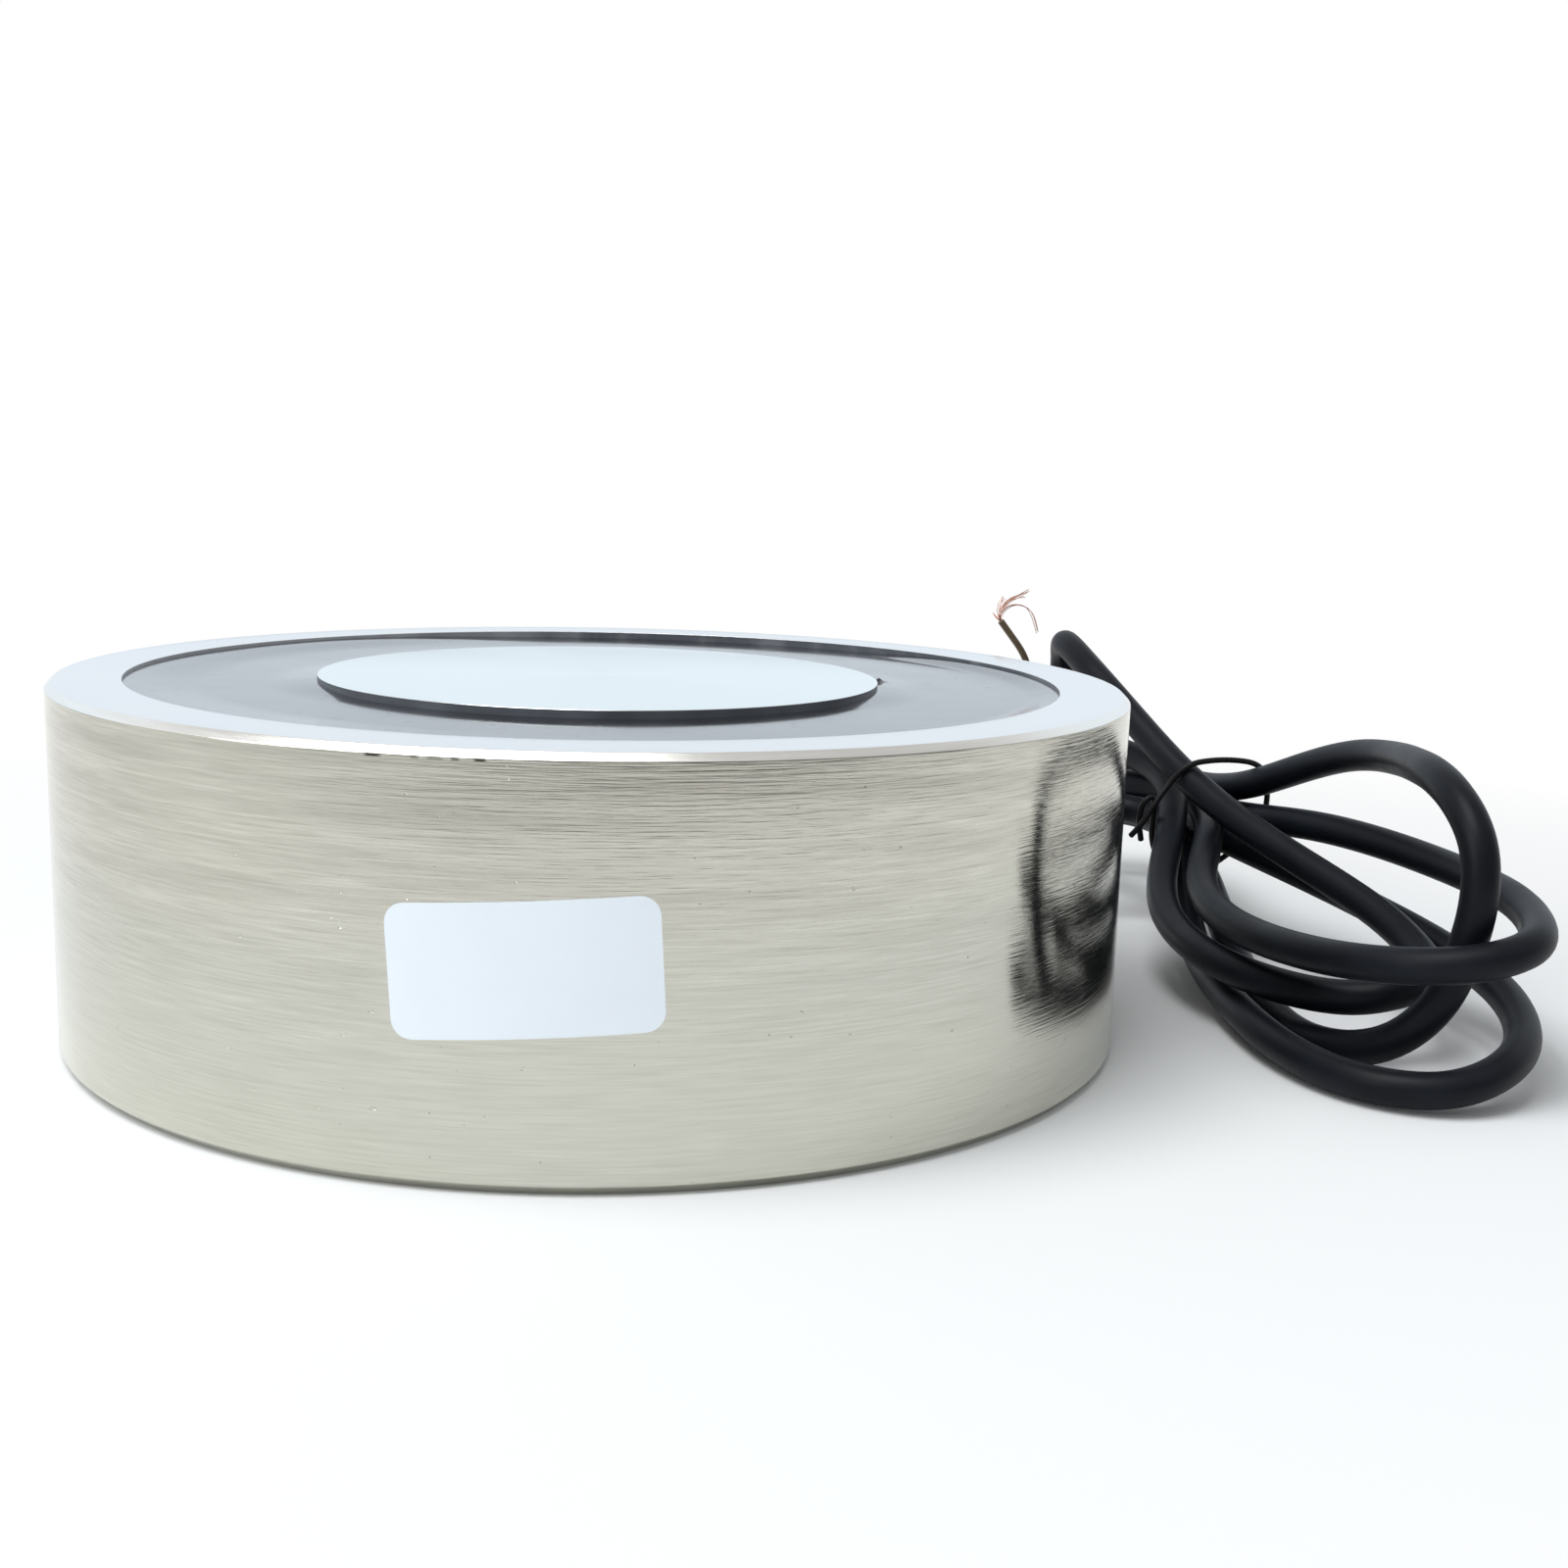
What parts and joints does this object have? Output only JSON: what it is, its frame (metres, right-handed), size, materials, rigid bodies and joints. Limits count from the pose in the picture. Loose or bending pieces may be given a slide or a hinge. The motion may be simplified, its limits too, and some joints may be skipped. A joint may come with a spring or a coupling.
{
  "type": "holding electromagnet",
  "caption": "Round plated-steel holding electromagnet with a level rim and centre pole, a coil sealed under black resin, a tapped mounting hole and a thin cable tied in a hank.",
  "frame": {"origin": "centre of the mounting face, on the surface that the magnet stands on", "axes": "+Z from the mounting face to the holding face, -Y to the labelled front, the cable leaves at +X+Y"},
  "size_m": [0.2073, 0.1852, 0.0568],
  "materials": {
    "plated_steel": "brushed nickel plating",
    "pole_steel": "fine turned nickel plating",
    "resin": "glossy cast resin",
    "bobbin_plastic": "moulded",
    "copper": "bright copper wire",
    "tape": "film tape",
    "sleeve": "heat-shrink sleeve",
    "brown_insulation": "soft wire insulation",
    "blue_insulation": "soft wire insulation",
    "grommet_rubber": "moulded rubber",
    "cable_sheath": "satin sheath",
    "tie": "coated tie wire",
    "label": "smooth white label stock"
  },
  "bodies": {
    "root": {"pot_shell": "plated_steel", "centre_pole": "pole_steel", "coil_bobbin": "bobbin_plastic", "coil_winding": "copper", "coil_tape": "tape", "potting_resin": "resin", "start_lead": "copper", "finish_lead": "copper", "start_splice": "sleeve", "finish_splice": "sleeve", "brown_core_root": "brown_insulation", "blue_core_root": "blue_insulation", "cable_grommet": "grommet_rubber", "cable_sheath": "cable_sheath", "brown_core_end": "brown_insulation", "blue_core_end": "blue_insulation", "brown_strands": "copper", "blue_strands": "copper", "bundle_tie": "tie", "blank_label": "label"}
  },
  "joints": []
}
